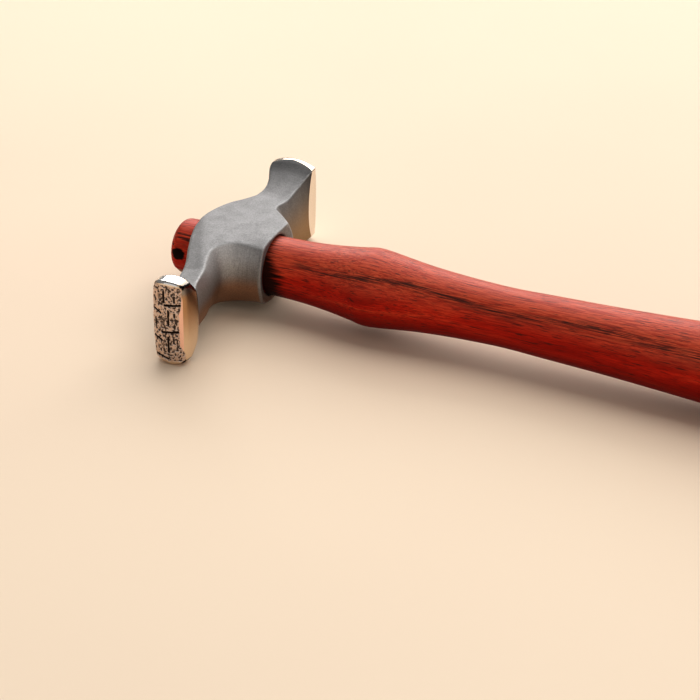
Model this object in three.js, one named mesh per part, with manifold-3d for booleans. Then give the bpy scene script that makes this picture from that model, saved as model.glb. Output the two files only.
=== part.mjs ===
// Silversmith's texturing hammer, lying on its side.
// Frame: +X along the handle to the grip's end, +Y along the head to the smooth face, +Z up.
// Origin: under the middle of the whole hammer, on the surface it lies on. Millimetres.
import * as THREE from 'three';
import { mergeVertices } from 'three/addons/utils/BufferGeometryUtils.js';
import Module from 'manifold-3d';

const wasm = await Module();
wasm.setup();

// ---------- driving dimensions ----------
const faceHeight = 25.4;              // both striking ends are cut from 1 inch round
const endRadius = faceHeight / 2;
const headHalfLength = 42.3;          // handle axis to either striking face
const endRounding = 0.8;              // crown of the textured face, edge rounding of the smooth one
const rimY = headHalfLength - endRounding;
const stubLength = 30;                // boss face back to the stub's end
const handleReach = 237;              // boss face forward to the grip's end
const overallLength = stubLength + handleReach;
const bossX = stubLength - overallLength / 2;   // the boss's flat face, where the handle enters

// sides of the narrow and the wide end, from the boss face, and how much they bulge per mm
const texturedEnd = { poll: -16.1, grip: -7.6, barrel: 0.004 };
const smoothEnd = { poll: -20.5, grip: -7, barrel: 0.0025 };
const smoothEndBevel = 0.8;

// half thickness of the head along its length
const domeHeight = 9.8;
const pollFallStart = -12;            // from here the top also falls towards the back
const pollFall = 0.005;
const texturedArm = { fall: 0.0042, waist: 23.3, neck: 34.1, land: 37.9, power: 1.15 };
const smoothArm = { fall: 0.0031, waist: 23, neck: 23, land: 39, power: 1.15 };
const texturedArch = { rate: 0.06, centre: -11.2, reach: 9 };   // rounding across each end's top
const smoothArch = { rate: 0.037, centre: -13.8, reach: 9 };
const shoulder = { drop: 0.9, reach: 5.5, wallY: -8, wallCurve: 0.02 };   // dip beside the textured scoop
const creaseStart = [-23.1, 0.4];     // the textured arm's tilted facet starts at this line
const creaseEnd = [-12, -22.3];
const creaseSlope = 0.42;
const creaseSoftness = 6;
const creaseFade = [29, 38];

const ridgeHeight = 8.4;              // side walls are barrelled: outlines hold at this height
const endCornerHeight = 11.2;
const barrel = 0.031;                 // bulge of the walls at the eye, per mm
const barrelAtBack = 0.012;

const eyeRadiusFront = 8.7;           // tapered round eye
const eyeRadiusBack = 8.15;
const eyeLength = 25;
const fitGap = 0.3;
const cutOver = 10;                   // how far the eye's cutter passes the head

const kerfDepth = 22;                 // saw kerf in the eye end of the handle
const kerfWidthEnd = 2.8;
const kerfWidthRoot = 1.0;
const kerfSpan = 20;                  // wider than the handle, so that the kerf goes right through
const kerfAngle = Math.PI / 4;
const eyeWedgeTip = 0.5;
const crossWedge = { depth: 9, width: 9, thickness: 1.6, edge: 0.5 };

// ---------- helpers ----------
const clamp01 = (t) => Math.min(1, Math.max(0, t));
const smooth = (t) => clamp01(t) ** 2 * (3 - 2 * clamp01(t));
const mix = (a, b, t) => a + (b - a) * t;

function solidOf(geometry) {
  const bare = geometry.index ? geometry.toNonIndexed() : geometry.clone();
  bare.deleteAttribute('normal');
  bare.deleteAttribute('uv');
  const merged = mergeVertices(bare, 1e-4);
  return new wasm.Manifold(new wasm.Mesh({
    numProp: 3,
    vertProperties: new Float32Array(merged.attributes.position.array),
    triVerts: new Uint32Array(merged.index.array),
  }));
}

function geometryOf(solid) {
  const mesh = solid.getMesh();
  const geometry = new THREE.BufferGeometry();
  geometry.setAttribute('position', new THREE.BufferAttribute(mesh.vertProperties.slice(), 3));
  geometry.setIndex(new THREE.BufferAttribute(mesh.triVerts.slice(), 1));
  geometry.computeVertexNormals();
  return geometry;
}

// A closed skin through rings of equal length, each seen anticlockwise from the last one.
function loft(rings) {
  const positions = rings.flat(2);
  const count = rings[0].length;
  const index = [];
  for (let r = 0; r + 1 < rings.length; r += 1) {
    for (let i = 0; i < count; i += 1) {
      const a = r * count + i;
      const b = r * count + ((i + 1) % count);
      index.push(a, b, b + count, a, b + count, a + count);
    }
  }
  const geometry = new THREE.BufferGeometry();
  for (const r of [0, rings.length - 1]) {
    const outline = rings[r].map(([x, y]) => new THREE.Vector2(x, y));
    for (const [i, j, k] of THREE.ShapeUtils.triangulateShape(outline, [])) {
      const [a, b, c] = [r * count + i, r * count + j, r * count + k];
      if (r === 0) index.push(a, c, b);
      else index.push(a, b, c);
    }
  }
  geometry.setAttribute('position', new THREE.Float32BufferAttribute(positions, 3));
  geometry.setIndex(index);
  return geometry;
}

// ---------- the head's outline seen from above, measured from the boss face and the handle axis ----------
const pollSide = [
  [texturedEnd.poll, -rimY], [-16.1, -36.5], [-15, -31], [-15.7, -27], [-17.4, -20.4],
  [-20.3, -13.7], [-23, -6.5], [-24.5, 0], [-24, 7], [-21.9, 14], [-18.6, 20], [-16.5, 26],
  [-17.2, 31], [-19.7, 37], [smoothEnd.poll, rimY],
];
const smoothSide = [
  [smoothEnd.grip, rimY], [-6.9, 36], [-7.3, 29], [-7.9, 22], [-8.2, 18.6],
];
const smoothScoop = [[-7.3, 15.9], [-4, 13], [0, 9]];
const texturedScoop = [
  [0, -8], [-3.2, -8.2], [-6, -8.6], [-8.7, -9.5], [-11.1, -11.4], [-12.4, -13.7], [-12.5, -16.5],
  [-11.9, -20.1], [-11.3, -22.5], [-10.8, -25.5], [-10.4, -28.3], [-9.8, -30.8], [-8.7, -33],
  [-7.4, -34.7], [-6.9, -35.8], [-6.85, -37.8], [-7.05, -39.8], [texturedEnd.grip, -rimY],
];

function curvePoints(points, count) {
  const curve = new THREE.SplineCurve(points.map(([x, y]) => new THREE.Vector2(x, y)));
  return curve.getSpacedPoints(count).map((p) => [p.x, p.y]);
}

function ridgeOutline() {
  const smoothCorners = [
    [smoothEnd.poll + smoothEndBevel, headHalfLength], [smoothEnd.grip - smoothEndBevel, headHalfLength],
  ];
  const crownSteps = 5;
  const crown = [];
  for (let i = 1; i < crownSteps; i += 1) {
    const t = i / crownSteps;
    const rise = endRounding * (1 - (2 * t - 1) ** 2);
    crown.push([mix(texturedEnd.grip, texturedEnd.poll, t), -rimY - rise]);
  }
  return [
    ...curvePoints(pollSide, 40),
    ...smoothCorners,
    ...curvePoints(smoothSide, 14),
    ...curvePoints(smoothScoop, 7),
    ...curvePoints(texturedScoop, 40),
    ...crown,
  ];
}

// The way each point of the clockwise outline moves as the walls bulge: square to the wall,
// along the boss face, and in proportion to its offset on the two striking faces.
function bulgeDirections(outline) {
  return outline.map(([x, y], i) => {
    if (Math.abs(y) > rimY - 0.1) {
      const end = y < 0 ? texturedEnd : smoothEnd;
      return [(2 * x - end.poll - end.grip) / (end.grip - end.poll), 0];
    }
    if (x > -0.01) return [0, Math.sign(y)];
    const [ax, ay] = outline[(i + outline.length - 1) % outline.length];
    const [bx, by] = outline[(i + 1) % outline.length];
    const size = Math.hypot(bx - ax, by - ay);
    return [-(by - ay) / size, (bx - ax) / size];
  });
}

function bulge(x, y, height) {
  const endShare = smooth((Math.abs(y) - 16) / 24);
  const backShare = smooth((-12 - x) / 4);
  const end = y < 0 ? texturedEnd : smoothEnd;
  const rate = mix(mix(barrel, barrelAtBack, backShare), end.barrel, endShare);
  const reference = mix(ridgeHeight, endCornerHeight, endShare);
  return rate * (reference ** 2 - height ** 2);
}

function planSolid() {
  const outline = ridgeOutline();
  const directions = bulgeDirections(outline);
  const levels = [-13.4, -11, -9, -7, -4.5, -2, 0, 2, 4.5, 7, 9, 11, 13.4];
  const rings = levels.map((height) => outline.map(([x, y], i) => {
    const out = bulge(x, y, height);
    return [x + out * directions[i][0], y + out * directions[i][1], height];
  }));
  return solidOf(loft(rings.map((ring) => ring.slice().reverse())));
}

// ---------- the head's top, mirrored below ----------
function armShare(y) {
  const arm = y < 0 ? texturedArm : smoothArm;
  return clamp01((Math.abs(y) - arm.neck) / (arm.land - arm.neck));
}

// The dome thins as far as the waist, stays level along the neck and flares up to the end's land.
function centreHeight(y) {
  const arm = y < 0 ? texturedArm : smoothArm;
  const dome = domeHeight - arm.fall * Math.min(Math.abs(y), arm.waist) ** 2;
  return mix(dome, endRadius, armShare(y) ** arm.power);
}

function facetDrop(x, y) {
  const run = [creaseEnd[0] - creaseStart[0], creaseEnd[1] - creaseStart[1]];
  const size = Math.hypot(run[0], run[1]);
  const past = ((x - creaseStart[0]) * run[1] - (y - creaseStart[1]) * run[0]) / size;
  const s = Math.max(0, past);
  const fade = 1 - smooth((-y - creaseFade[0]) / (creaseFade[1] - creaseFade[0]));
  return fade * creaseSlope * s / (1 + s / creaseSoftness);
}

function shoulderDrop(x, y) {
  const fromWall = y - (shoulder.wallY - shoulder.wallCurve * x ** 2);
  const near = clamp01(1 - Math.max(0, fromWall) / shoulder.reach) ** 2;
  return shoulder.drop * near * smooth((x + 12) / 12) * smooth((-y - 2) / 4);
}

function topHeight(x, y) {
  const share = armShare(y) ** 2;
  const arch = y < 0 ? texturedArch : smoothArch;
  const pollPart = pollFall * Math.min(0, x - pollFallStart) ** 2;
  const archPart = arch.rate * Math.min(arch.reach, Math.abs(x - arch.centre)) ** 2;
  const edge = Math.max(0, Math.abs(y) - rimY);
  const rounding = y > 0 ? edge : 0.6 * edge;
  return centreHeight(y) - mix(pollPart, archPart, share) - facetDrop(x, y) - shoulderDrop(x, y) - rounding;
}

// Places of the sections along the head: close together where the narrow end flares.
function topSections() {
  const over = headHalfLength + 1.7;
  const sections = [over, headHalfLength, rimY];
  for (let y = 40; y > -32; y -= 2) sections.push(y);
  for (let y = -32; y > -39; y -= 1) sections.push(y);
  sections.push(-40, -rimY, -headHalfLength, -over);
  return sections;
}

function thicknessSolid() {
  const xs = [-34, -27, -24, -22, -20, -18, -16, -14, -12, -10, -8, -6, -3, 0, 2];
  const rings = topSections().map((y) => {
    const bottom = xs.map((x) => [x, -topHeight(x, y), -y]);
    const top = xs.map((x) => [x, topHeight(x, y), -y]).reverse();
    return [...bottom, ...top];
  });
  return solidOf(loft(rings).rotateX(Math.PI / 2));
}

function latheAlongX(profile, segments) {
  const points = profile.map(([x, r]) => new THREE.Vector2(r, x));
  const geometry = new THREE.LatheGeometry(points, segments);
  geometry.rotateZ(-Math.PI / 2);
  return geometry;
}

function headGeometry() {
  const slope = (eyeRadiusFront - eyeRadiusBack) / eyeLength;
  const backX = -stubLength - cutOver;
  const eye = latheAlongX([
    [backX, 0], [backX, eyeRadiusFront + backX * slope],
    [cutOver, eyeRadiusFront + cutOver * slope], [cutOver, 0],
  ], 48);
  return geometryOf(planSolid().intersect(thicknessSolid()).subtract(solidOf(eye)));
}

// ---------- handle ----------
const stubRadius = eyeRadiusBack - fitGap;
const gripRadius = endRadius;
const handleStations = [
  [0, 8.4], [8, 8.58], [14, 8.95], [20, 9.6], [25.5, 10.4], [29.3, 11], [33.5, 10.75],
  [39, 10.05], [45, 9.35], [52, 8.8], [60, 8.4], [70, 8.2], [82, 8.6], [98, 9.15], [116, 10.05],
  [136, 11.2], [156, 12.2], [176, gripRadius], [196, 12.55], [212, 11.9], [224, 10.7],
  [232, 8.6], [236.6, 5], [handleReach, 0],
];

const stubEnd = [                     // rounded end of the stub: how far in from its end, and off its radius
  [0, 2.4], [0.6, 1.1], [1.5, 0.35], [2.8, 0],
];

function handleProfile() {
  const outer = new THREE.SplineCurve(handleStations.map(([x, r]) => new THREE.Vector2(x, r)));
  const body = outer.getSpacedPoints(58).map((p) => [p.x, Math.min(gripRadius, Math.max(0, p.y))]);
  body[body.length - 1] = [handleReach, 0];
  return [
    [-stubLength, 0], ...stubEnd.map(([inward, off]) => [inward - stubLength, stubRadius - off]), ...body,
  ];
}

// A wedge whose thin edge points to the grip. Its broad faces are square to Z before it is turned.
function wedgeSolid(startX, depth, width, thickEnd, thinEnd, angle) {
  const shape = new THREE.Shape([
    new THREE.Vector2(startX, -thickEnd / 2), new THREE.Vector2(startX + depth, -thinEnd / 2),
    new THREE.Vector2(startX + depth, thinEnd / 2), new THREE.Vector2(startX, thickEnd / 2),
  ]);
  const geometry = new THREE.ExtrudeGeometry(shape, { depth: width, bevelEnabled: false });
  geometry.translate(0, 0, -width / 2);
  geometry.rotateX(Math.PI / 2 + angle);
  return solidOf(geometry);
}

// The cross wedge's own slot, cut through the handle's halves and the eye wedge.
function crossWedgeSlot() {
  const over = 1;
  const wider = 2 * fitGap;
  return wedgeSolid(-stubLength - over, crossWedge.depth + over + fitGap, crossWedge.width + wider,
    crossWedge.thickness + wider, crossWedge.edge + wider, kerfAngle + Math.PI / 2);
}

function handleGeometry() {
  const over = 1;
  const body = solidOf(latheAlongX(handleProfile(), 40));
  const kerf = wedgeSolid(-stubLength - over, kerfDepth + over, kerfSpan,
    kerfWidthEnd, kerfWidthRoot, kerfAngle);
  return geometryOf(body.subtract(kerf).subtract(crossWedgeSlot()));
}

// ---------- wedges ----------
function eyeWedgeGeometry() {
  const blank = wedgeSolid(-stubLength, kerfDepth - 2, kerfSpan, kerfWidthEnd - 2 * fitGap, eyeWedgeTip,
    kerfAngle);
  const inset = 0.2;
  const round = latheAlongX([
    [-stubLength, 0], [-stubLength, stubRadius - stubEnd[0][1] - inset],
    [stubEnd[3][0] - stubLength, stubRadius - inset], [0, stubRadius - inset], [0, 0],
  ], 40);
  return geometryOf(blank.intersect(solidOf(round)).subtract(crossWedgeSlot()));
}

function crossWedgeGeometry() {
  return geometryOf(wedgeSolid(-stubLength, crossWedge.depth, crossWedge.width,
    crossWedge.thickness, crossWedge.edge, kerfAngle + Math.PI / 2));
}

// ---------- assembly ----------
const finishes = {
  hammer_head: { color: 0x9a9794, roughness: 0.45, metalness: 1 },
  handle: { color: 0x8c1c10, roughness: 0.25, metalness: 0 },
  eye_wedge: { color: 0x6e3a1e, roughness: 0.6, metalness: 0 },
  cross_wedge: { color: 0x8e8c8a, roughness: 0.4, metalness: 1 },
};
const shapes = {
  hammer_head: headGeometry(),
  handle: handleGeometry(),
  eye_wedge: eyeWedgeGeometry(),
  cross_wedge: crossWedgeGeometry(),
};

const hammer = new THREE.Group();
hammer.position.set(bossX, 0, endRadius);
for (const [name, geometry] of Object.entries(shapes)) {
  const mesh = new THREE.Mesh(geometry, new THREE.MeshStandardMaterial(finishes[name]));
  mesh.name = name;
  hammer.add(mesh);
}

export default hammer;
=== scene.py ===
"""Looks of a silversmith's texturing hammer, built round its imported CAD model."""
import math

import bmesh
import bpy
import numpy as np
from mathutils import Matrix, Vector


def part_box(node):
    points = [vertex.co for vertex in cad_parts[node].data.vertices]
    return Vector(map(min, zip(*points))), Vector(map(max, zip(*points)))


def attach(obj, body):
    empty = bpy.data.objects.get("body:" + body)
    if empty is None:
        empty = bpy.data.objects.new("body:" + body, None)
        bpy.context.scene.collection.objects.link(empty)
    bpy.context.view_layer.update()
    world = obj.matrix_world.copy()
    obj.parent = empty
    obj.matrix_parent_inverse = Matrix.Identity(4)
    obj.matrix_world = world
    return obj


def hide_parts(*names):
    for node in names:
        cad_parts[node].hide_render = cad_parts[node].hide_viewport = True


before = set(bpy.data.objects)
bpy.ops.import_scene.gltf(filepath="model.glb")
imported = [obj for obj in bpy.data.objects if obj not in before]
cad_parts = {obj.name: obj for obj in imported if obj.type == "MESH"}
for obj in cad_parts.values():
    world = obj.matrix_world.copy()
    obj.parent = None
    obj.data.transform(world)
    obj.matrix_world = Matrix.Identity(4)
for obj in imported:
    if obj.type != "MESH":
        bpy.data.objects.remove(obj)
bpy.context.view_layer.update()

# ---------- places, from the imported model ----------
# The head and the handle are shaped in millimetres about the point where the handle's axis meets
# the boss face: x along the handle, y along the head, h up. placed() takes them to the frame.
MM = 0.001
head_low, head_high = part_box("hammer_head")
handle_low, handle_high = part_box("handle")
boss_x = head_high.x
axis_z = (head_low.z + head_high.z) / 2
half_length = head_high.y / MM
stub_length = (boss_x - handle_low.x) / MM
handle_reach = (handle_high.x - boss_x) / MM


def placed(points):
    """Millimetres about the boss to metres in the frame."""
    return np.asarray(points, float) * MM + np.array([boss_x, 0.0, axis_z])


# ---------- camera ----------
VIEW_AZIMUTH = math.radians(22.867)
VIEW_ELEVATION = math.radians(30.755)
VIEW_ROLL = math.radians(1.336)
VIEW_DISTANCE = 0.4813
VIEW_AIM = Vector((boss_x + 0.03746, -0.03388, axis_z))
LENS = 95.09
SENSOR_WIDTH = 36
CLIP_START = 0.01


def make_camera():
    camera = bpy.data.objects.new("camera", bpy.data.cameras.new("camera"))
    bpy.context.scene.collection.objects.link(camera)
    camera.data.lens = LENS
    camera.data.sensor_width = SENSOR_WIDTH
    camera.data.clip_start = CLIP_START
    turn = (Matrix.Rotation(VIEW_AZIMUTH, 4, "Z")
            @ Matrix.Rotation(math.pi / 2 - VIEW_ELEVATION, 4, "X")
            @ Matrix.Rotation(VIEW_ROLL, 4, "Z"))
    camera.matrix_world = (Matrix.Translation(VIEW_AIM) @ turn
                           @ Matrix.Translation((0, 0, VIEW_DISTANCE)))
    bpy.context.scene.camera = camera


make_camera()


# ---------- sums shared by the shapes ----------
def smooth(t):
    """0 below 0, 1 above 1, and an S-shaped rise between them."""
    t = np.clip(t, 0, 1)
    return t * t * (3 - 2 * t)


def ramp(value, start, end):
    """0 on the start's side and 1 on the end's side, with a smooth change between the two."""
    return smooth((value - start) / (end - start))


def mix(a, b, t):
    return a + (b - a) * t


def spline(points, per_span=10):
    """A Catmull-Rom curve through the points."""
    p = np.array([points[0], *points, points[-1]], float)
    t = np.linspace(0, 1, per_span, endpoint=False)[:, None]
    spans = []
    for a, b, c, d in zip(p, p[1:], p[2:], p[3:]):
        u, v = (c - a) / 2, (d - b) / 2
        cubic = 2 * b - 2 * c + u + v
        square = 3 * c - 3 * b - 2 * u - v
        spans.append(cubic * t ** 3 + square * t ** 2 + u * t + b)
    return np.vstack([*spans, p[-1:]])


# ---------- the head's shape: fields in millimetres, positive inside the steel ----------
END_HEIGHT = 25.4                 # the striking ends are cut from round bar
OVERRUN = 4                       # outlines run on past the end faces and the boss

# In each half of the head, the end face runs from "poll" to "grip" in x, and "barrel" bulges its
# walls. The top falls along the arm as far as "waist", rises from "neck" to "land", which "ease"
# starts softly, and is arched across the arm by "arch" about "centre".
TEXTURED_HALF = {
    "poll": -16.1, "grip": -7.6, "barrel": 0.004, "fall": 0.0042, "waist": 23.3, "neck": 34.1,
    "land": 37.9, "ease": 0.05, "arch": 0.06, "centre": -11.2,
}
SMOOTH_HALF = {
    "poll": -20.5, "grip": -7.0, "barrel": 0.0025, "fall": 0.0031, "waist": 23, "neck": 23,
    "land": 39, "ease": 0.16, "arch": 0.037, "centre": -13.8,
}
FACE_MIDDLE = (TEXTURED_HALF["poll"] + TEXTURED_HALF["grip"]) / 2

POLL_SIDE = [
    (-16.1, -41.5 - OVERRUN), (-16.1, -41.5), (-16.1, -36.5), (-15, -31), (-15.7, -27),
    (-17.4, -20.4), (-20.3, -13.7), (-23, -6.5), (-24.5, 0), (-24, 7), (-21.9, 14), (-18.6, 20),
    (-16.5, 26), (-17.2, 31), (-19.7, 37), (-20.5, 41.5), (-20.6, 41.5 + OVERRUN),
]
SMOOTH_SIDE = [(-7, 41.5 + OVERRUN), (-7, 41.5), (-6.9, 36), (-7.3, 29), (-7.9, 22), (-8.2, 18.6)]
SMOOTH_SCOOP = [(-7.3, 15.9), (-4, 13), (0, 9), (OVERRUN, 9 - OVERRUN)]
TEXTURED_SCOOP = [
    (OVERRUN, -7.9), (0, -8), (-3.2, -8.2), (-6, -8.6), (-8.7, -9.5), (-11.1, -11.4), (-12.4, -13.7),
    (-12.5, -16.5), (-11.9, -20.1), (-11.3, -22.5), (-10.8, -25.5), (-10.4, -28.3), (-9.8, -30.8),
    (-8.7, -33), (-7.4, -34.7), (-6.9, -35.8), (-6.85, -37.8), (-7.05, -39.8), (-7.4, -41.5),
    (-7.6, -41.5 - OVERRUN),
]
OUTLINE = np.vstack([spline(part) for part in (POLL_SIDE, SMOOTH_SIDE, SMOOTH_SCOOP, TEXTURED_SCOOP)])
OUTLINE_BATCH = 20000             # points measured from the outline at one time

RIDGE_HEIGHT = 8.4                # the outline holds at this height, and the walls bulge below it
END_CORNER_HEIGHT = 11.2          # at the ends it holds at this height instead
BARREL = 0.031
BARREL_AT_BACK = 0.012
BACK_BLEND = (-12, -16)           # x over which the poll side's bulge takes over
END_BLEND = (16, 40)              # distance along the arms over which the ends' bulge takes over

DOME_HEIGHT = 9.8
RISE_POWER = 1.15                 # holds back the start of the top's rise towards the ends
POLL_FALL_START = -12
POLL_FALL = 0.005
ARCH_REACH = 9
SHOULDER_DROP = 0.9               # the dome dips towards the textured side of the boss
SHOULDER_REACH = 5.5
SHOULDER_X_BLEND = (-12, 0)
SHOULDER_Y_BLEND = (-2, -6)
CREASE_START = (-23.1, 0.4)       # the tilted facet of the textured arm starts at this line
CREASE_END = (-12, -22.3)
CREASE_BLEND = 0.5                # how softly the facet sets in
CREASE_SLOPE = 0.42
CREASE_SOFTNESS = 6               # how soon its fall levels out
FACET_FADE = (-29, -38)           # y over which the facet runs out

RIDGE_ROUNDING = 0.4
BOSS_ROUNDING = 0.5
SMOOTH_FACE_ROUNDING = 0.5
TEXTURED_FACE_ROUNDING = 0.3
FACE_CORNER_ROUNDING = 0.9        # the textured face's top and bottom edges are rounder
FACE_CORNER_BLEND = (9.5, 11)
FACE_CROWN = 0.8                  # how far the textured face stands out along its middle
FACE_BEVEL = 0.1                  # how much the bevel takes off its edge on the grip side
BEVEL_ROUNDING = 0.15
EYE_FRONT = 8.7
EYE_BACK = 8.15
EYE_LENGTH = 25
EYE_ROUNDING = 0.45


def by_half(y, key):
    """The named number of whichever half of the head each y is in."""
    return np.where(y < 0, TEXTURED_HALF[key], SMOOTH_HALF[key])


def plan_depth(x, y):
    """Signed distance from the side outline, for flat arrays."""
    a, b = OUTLINE, np.roll(OUTLINE, -1, axis=0)
    run = b - a
    length2 = np.maximum((run ** 2).sum(1), 1e-12)
    depth = np.empty(len(x))
    for start in range(0, len(x), OUTLINE_BATCH):
        px = x[start:start + OUTLINE_BATCH, None]
        py = y[start:start + OUTLINE_BATCH, None]
        rx, ry = px - a[:, 0], py - a[:, 1]
        t = np.clip((rx * run[:, 0] + ry * run[:, 1]) / length2, 0, 1)
        distance = np.sqrt(((rx - t * run[:, 0]) ** 2 + (ry - t * run[:, 1]) ** 2).min(1))
        crossing = (a[:, 1] > py) != (b[:, 1] > py)
        safe = np.where(run[:, 1] == 0, 1, run[:, 1])
        crosses = crossing & (rx < ry * run[:, 0] / safe)
        inside = crosses.sum(1) % 2 == 1
        depth[start:start + OUTLINE_BATCH] = np.where(inside, distance, -distance)
    return depth


def bulge(x, y, h):
    """How far the side walls stand out from the outline at each height."""
    end_share = ramp(np.abs(y), *END_BLEND)
    body_rate = mix(BARREL, BARREL_AT_BACK, ramp(x, *BACK_BLEND))
    rate = mix(body_rate, by_half(y, "barrel"), end_share)
    level = mix(RIDGE_HEIGHT, END_CORNER_HEIGHT, end_share)
    return rate * (level ** 2 - h ** 2)


def facet_drop(x, y):
    """How far the tilted facet takes the top down, past its crease."""
    run = np.array(CREASE_END) - np.array(CREASE_START)
    past = ((x - CREASE_START[0]) * run[1] - (y - CREASE_START[1]) * run[0]) / np.hypot(*run)
    past = np.log1p(np.exp(np.clip(past / CREASE_BLEND, -30, 30))) * CREASE_BLEND
    return (1 - ramp(y, *FACET_FADE)) * CREASE_SLOPE * past / (1 + past / CREASE_SOFTNESS)


def top_height(x, y, depth):
    """How high the top surface is over the middle plane. The underside mirrors it."""
    away = np.abs(y)
    share = (away - by_half(y, "neck")) / (by_half(y, "land") - by_half(y, "neck"))
    share = np.clip((share + np.sqrt(share ** 2 + by_half(y, "ease") ** 2)) / 2, 0, 1)
    dome = DOME_HEIGHT - by_half(y, "fall") * np.minimum(away, by_half(y, "waist")) ** 2
    centre_height = mix(dome, END_HEIGHT / 2, share ** RISE_POWER)
    poll_part = POLL_FALL * np.minimum(0, x - POLL_FALL_START) ** 2
    reach = np.minimum(ARCH_REACH, np.abs(x - by_half(y, "centre")))
    arch_part = by_half(y, "arch") * reach ** 2
    shoulder = SHOULDER_DROP * np.clip(1 - depth / SHOULDER_REACH, 0, 1) ** 2
    shoulder = shoulder * ramp(x, *SHOULDER_X_BLEND) * ramp(y, *SHOULDER_Y_BLEND)
    return centre_height - mix(poll_part, arch_part, share ** 2) - facet_drop(x, y) - shoulder


def flat_values(x, y):
    """What the field needs of a point's x and y: plan depth, and the top's height and steepness."""
    shape = x.shape
    x, y = x.ravel(), y.ravel()
    reach = 0.05
    depth = plan_depth(x, y)
    top = top_height(x, y, depth)
    slope_x = (top_height(x + reach, y, depth) - top) / reach
    slope_y = (top_height(x, y + reach, depth) - top) / reach
    steepness = np.sqrt(1 + slope_x ** 2 + slope_y ** 2)
    return [v.reshape(shape) for v in (depth, top, steepness)]


def rounded(a, b, radius):
    """Both fields together, with the edge between them rounded."""
    corner = np.hypot(np.maximum(radius - a, 0), np.maximum(radius - b, 0))
    return np.maximum(radius, np.minimum(a, b)) - corner


def walls_and_ceiling(x, y, h, flat):
    """How deep a point is inside the side walls, and inside the top or the underside."""
    depth, top, steepness = flat
    return depth + bulge(x, y, h), (top - np.abs(h)) / steepness


def head_field(x, y, h, flat):
    """How deep a point is inside the steel, given the flat_values of its x and y."""
    walls, ceiling = walls_and_ceiling(x, y, h, flat)
    body = rounded(walls, ceiling, RIDGE_ROUNDING)
    body = rounded(body, -x, BOSS_ROUNDING)
    half_width = (TEXTURED_HALF["grip"] - TEXTURED_HALF["poll"]) / 2
    crown = FACE_CROWN * ((x - FACE_MIDDLE) / half_width) ** 2
    corner_share = ramp(np.abs(h), *FACE_CORNER_BLEND)
    face_rounding = mix(TEXTURED_FACE_ROUNDING, FACE_CORNER_ROUNDING, corner_share)
    body = rounded(body, y + half_length - crown, face_rounding)
    body = rounded(body, half_length - y, SMOOTH_FACE_ROUNDING)
    past_edge = x - TEXTURED_HALF["grip"] + FACE_BEVEL
    bevel = ((y + half_length - FACE_CROWN) - past_edge) / math.sqrt(2)
    body = rounded(body, bevel, BEVEL_ROUNDING)
    eye_radius = EYE_FRONT + (EYE_FRONT - EYE_BACK) * x / EYE_LENGTH
    return rounded(body, np.hypot(y, h) - eye_radius, EYE_ROUNDING)


# ---------- meshing ----------
GRID_LOW = (-26.13, -43.6, -13.52)
GRID_HIGH = (0.7, 43.4, 13.6)
GRID_STEP = 0.37
LEAST_SLOPE2 = 0.05               # least squared slope, so that a step onto the surface stays short


def surface_net(field, low, high, step):
    """Points and quads over the zero surface of a field, from a grid of samples."""
    axes = [np.arange(a, b + step, step) for a, b in zip(low, high)]
    flat = flat_values(*np.meshgrid(axes[0], axes[1], indexing="ij"))
    grid = field(axes[0][:, None, None], axes[1][None, :, None], axes[2][None, None, :],
                 [v[:, :, None] for v in flat])
    inside = grid > 0
    cells = tuple(n - 1 for n in grid.shape)
    total = np.zeros(cells + (3,))
    count = np.zeros(cells)
    crossings = []
    for axis in range(3):
        near = [slice(None)] * 3
        far = [slice(None)] * 3
        near[axis], far[axis] = slice(0, -1), slice(1, None)
        a, b = grid[tuple(near)], grid[tuple(far)]
        where = np.argwhere(inside[tuple(near)] != inside[tuple(far)])
        index = tuple(where.T)
        point = where.astype(float)
        point[:, axis] += a[index] / (a[index] - b[index])
        crossings.append((axis, where, inside[tuple(near)][index]))
        u, v = [k for k in range(3) if k != axis]
        for du in (0, 1):
            for dv in (0, 1):
                cell = where.copy()
                cell[:, u] -= du
                cell[:, v] -= dv
                np.add.at(total, tuple(cell.T), point)
                np.add.at(count, tuple(cell.T), 1)
    used = np.argwhere(count > 0)
    number = np.full(cells, -1)
    number[tuple(used.T)] = np.arange(len(used))
    points = total[tuple(used.T)] / count[tuple(used.T)][:, None] * step + np.array(low)
    quads = []
    for axis, where, out in crossings:
        u, v = [(axis + 1) % 3, (axis + 2) % 3]
        ring = []
        for du, dv in ((1, 1), (0, 1), (0, 0), (1, 0)):
            cell = where.copy()
            cell[:, u] -= du
            cell[:, v] -= dv
            ring.append(number[tuple(cell.T)])
        quad = np.stack(ring, 1)
        quads.append(np.where(out[:, None], quad, quad[:, ::-1]))
    return points, np.vstack(quads)


def gradient(field, points, reach=0.01):
    """The field's slope at each point, and its value there."""
    x, y, h = points.T
    flat = flat_values(x, y)
    beside = [(flat_values(x + reach, y), flat_values(x - reach, y)),
              (flat_values(x, y + reach), flat_values(x, y - reach))]
    slopes = []
    for k in range(2):
        step = reach * np.eye(3)[k]
        ahead = field(*(points + step).T, beside[k][0])
        back = field(*(points - step).T, beside[k][1])
        slopes.append((ahead - back) / (2 * reach))
    slopes.append((field(x, y, h + reach, flat) - field(x, y, h - reach, flat)) / (2 * reach))
    return np.stack(slopes, 1), field(x, y, h, flat)


def onto_surface(field, points):
    """The points moved onto the field's zero surface, and the outward directions there."""
    slope, value = gradient(field, points)
    points = points - slope * (value / np.maximum((slope ** 2).sum(1), LEAST_SLOPE2))[:, None]
    slope, _ = gradient(field, points)
    return points, -slope / np.linalg.norm(slope, axis=1)[:, None]


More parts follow.
